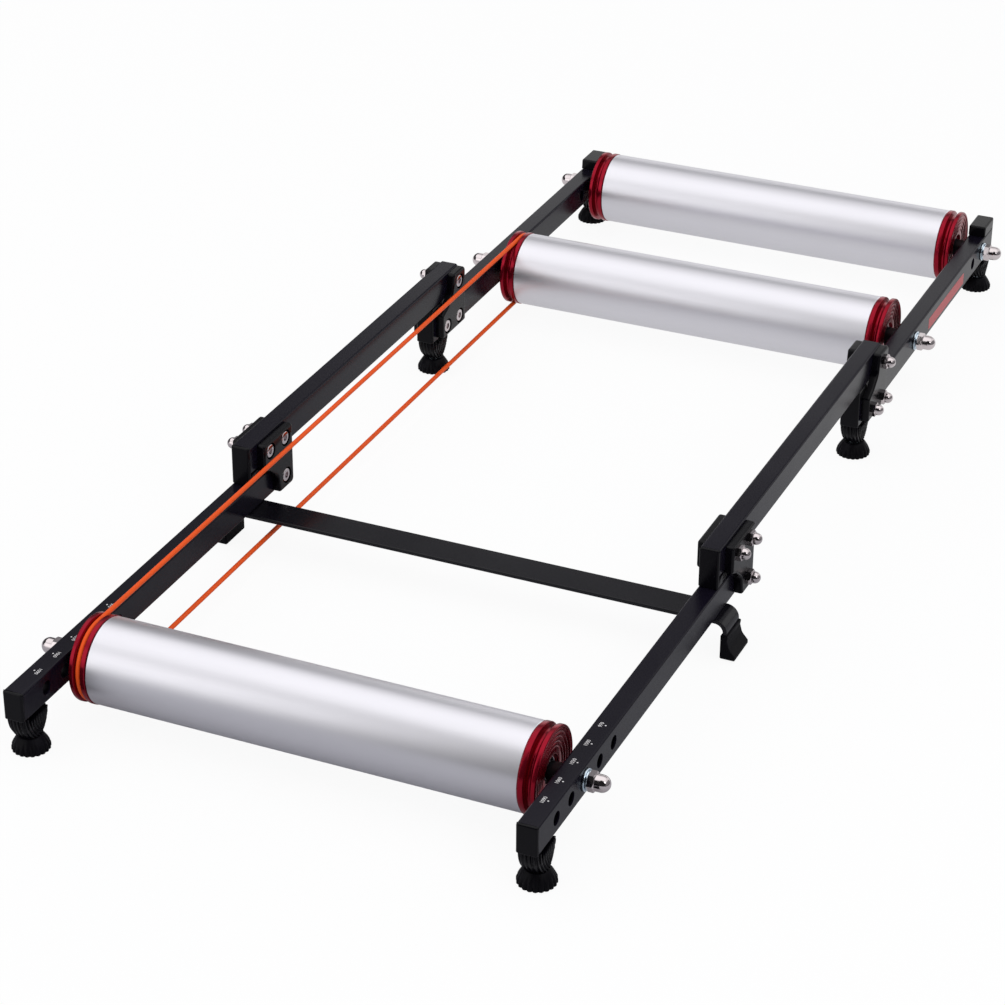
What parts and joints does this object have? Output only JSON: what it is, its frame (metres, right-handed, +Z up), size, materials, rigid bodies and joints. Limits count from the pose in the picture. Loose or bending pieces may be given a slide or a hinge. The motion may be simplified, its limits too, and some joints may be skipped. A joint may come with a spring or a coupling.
{
  "type": "bike rollers",
  "caption": "Folding bicycle training rollers: aluminium drums with red belt-groove caps on a hinged black tube frame with adjustable rubber feet.",
  "frame": {"origin": "on the floor, under the middle of the whole object", "axes": "+Z up, +Y along the frame from the front roller to the two rear ones, +X to the right seen from the front"},
  "size_m": [0.5326, 1.2964, 0.107],
  "materials": {
    "rail_paint": "gloss",
    "moulded_nylon": "satin",
    "foot_rubber": "matte",
    "drum_aluminium": "satin",
    "red_cap": "gloss",
    "bearing_steel": "satin",
    "plated_steel": "polished",
    "belt_urethane": "satin"
  },
  "bodies": {
    "middle_frame": {"middle_rail_left": "rail_paint", "middle_rail_right": "rail_paint", "middle_stop_cap_left": "moulded_nylon", "middle_stop_cap_right": "moulded_nylon", "front_hinge_inner_left": "moulded_nylon", "front_hinge_inner_right": "moulded_nylon", "front_hinge_outer_left": "moulded_nylon", "front_hinge_outer_right": "moulded_nylon", "front_pivot_bolt_left": "plated_steel", "front_pivot_bolt_right": "plated_steel", "drive_belt": "belt_urethane"},
    "front_frame": {"front_rail_left": "rail_paint", "front_rail_right": "rail_paint", "front_end_cap_left": "moulded_nylon", "front_end_cap_right": "moulded_nylon", "cross_bar": "rail_paint", "cross_bar_shoe_left": "foot_rubber", "cross_bar_shoe_right": "foot_rubber", "front_axle": "bearing_steel", "front_axle_nut_left": "plated_steel", "front_axle_nut_right": "plated_steel"},
    "rear_frame": {"rear_rail_left": "rail_paint", "rear_rail_right": "rail_paint", "rear_stop_cap_left": "moulded_nylon", "rear_stop_cap_right": "moulded_nylon", "rear_end_cap_left": "moulded_nylon", "rear_end_cap_right": "moulded_nylon", "rear_hinge_inner_left": "moulded_nylon", "rear_hinge_inner_right": "moulded_nylon", "rear_hinge_outer_left": "moulded_nylon", "rear_hinge_outer_right": "moulded_nylon", "rear_pivot_bolt_left": "plated_steel", "rear_pivot_bolt_right": "plated_steel", "middle_axle": "bearing_steel", "middle_axle_nut_left": "plated_steel", "middle_axle_nut_right": "plated_steel", "rear_axle": "bearing_steel", "rear_axle_nut_left": "plated_steel", "rear_axle_nut_right": "plated_steel"},
    "front_roller": {"front_roller_tube": "drum_aluminium", "front_roller_cap_left": "red_cap", "front_roller_cap_right": "red_cap", "front_bearing_left": "bearing_steel", "front_bearing_right": "bearing_steel"},
    "middle_roller": {"middle_roller_tube": "drum_aluminium", "middle_roller_cap_left": "red_cap", "middle_roller_cap_right": "red_cap", "middle_bearing_left": "bearing_steel", "middle_bearing_right": "bearing_steel"},
    "rear_roller": {"rear_roller_tube": "drum_aluminium", "rear_roller_cap_left": "red_cap", "rear_roller_cap_right": "red_cap", "rear_bearing_left": "bearing_steel", "rear_bearing_right": "bearing_steel"},
    "front_foot_l": {"front_foot_left": "foot_rubber"},
    "front_foot_r": {"front_foot_right": "foot_rubber"},
    "middle_foot_l": {"middle_foot_left": "foot_rubber"},
    "middle_foot_r": {"middle_foot_right": "foot_rubber"},
    "rear_foot_l": {"rear_foot_left": "foot_rubber"},
    "rear_foot_r": {"rear_foot_right": "foot_rubber"}
  },
  "joints": [
    {"name": "rear_fold", "type": "hinge", "parent": "middle_frame", "child": "rear_frame", "pos_m": [0, 0.21225, 0.093], "axis": [1, 0, 0], "range_deg": [0, 180], "deforming": ["drive_belt"]},
    {"name": "front_fold", "type": "hinge", "parent": "middle_frame", "child": "front_frame", "pos_m": [0, -0.18575, 0.053], "axis": [1, 0, 0], "range_deg": [0, 180], "deforming": ["drive_belt"]},
    {"name": "middle_roller_spin", "type": "hinge", "parent": "rear_frame", "child": "middle_roller", "pos_m": [0, 0.35325, 0.053], "axis": [1, 0, 0], "continuous": true},
    {"name": "front_roller_spin", "type": "hinge", "parent": "front_frame", "child": "front_roller", "pos_m": [0, -0.54975, 0.053], "axis": [1, 0, 0], "continuous": true},
    {"name": "rear_roller_spin", "type": "hinge", "parent": "rear_frame", "child": "rear_roller", "pos_m": [0, 0.60725, 0.053], "axis": [1, 0, 0], "continuous": true},
    {"name": "front_foot_left_screw", "type": "slide", "parent": "front_frame", "child": "front_foot_l", "axis": [0, 0, 1], "range_m": [-0.008, 0]},
    {"name": "front_foot_right_screw", "type": "slide", "parent": "front_frame", "child": "front_foot_r", "axis": [0, 0, 1], "range_m": [-0.008, 0]},
    {"name": "middle_foot_left_screw", "type": "slide", "parent": "rear_frame", "child": "middle_foot_l", "axis": [0, 0, 1], "range_m": [-0.008, 0]},
    {"name": "middle_foot_right_screw", "type": "slide", "parent": "rear_frame", "child": "middle_foot_r", "axis": [0, 0, 1], "range_m": [-0.008, 0]},
    {"name": "rear_foot_left_screw", "type": "slide", "parent": "rear_frame", "child": "rear_foot_l", "axis": [0, 0, 1], "range_m": [-0.008, 0]},
    {"name": "rear_foot_right_screw", "type": "slide", "parent": "rear_frame", "child": "rear_foot_r", "axis": [0, 0, 1], "range_m": [-0.008, 0]}
  ],
  "couplings": [
    {"joint": "front_fold", "follows": "rear_fold", "ratio": 1},
    {"joint": "front_roller_spin", "follows": "middle_roller_spin", "ratio": 1}
  ]
}
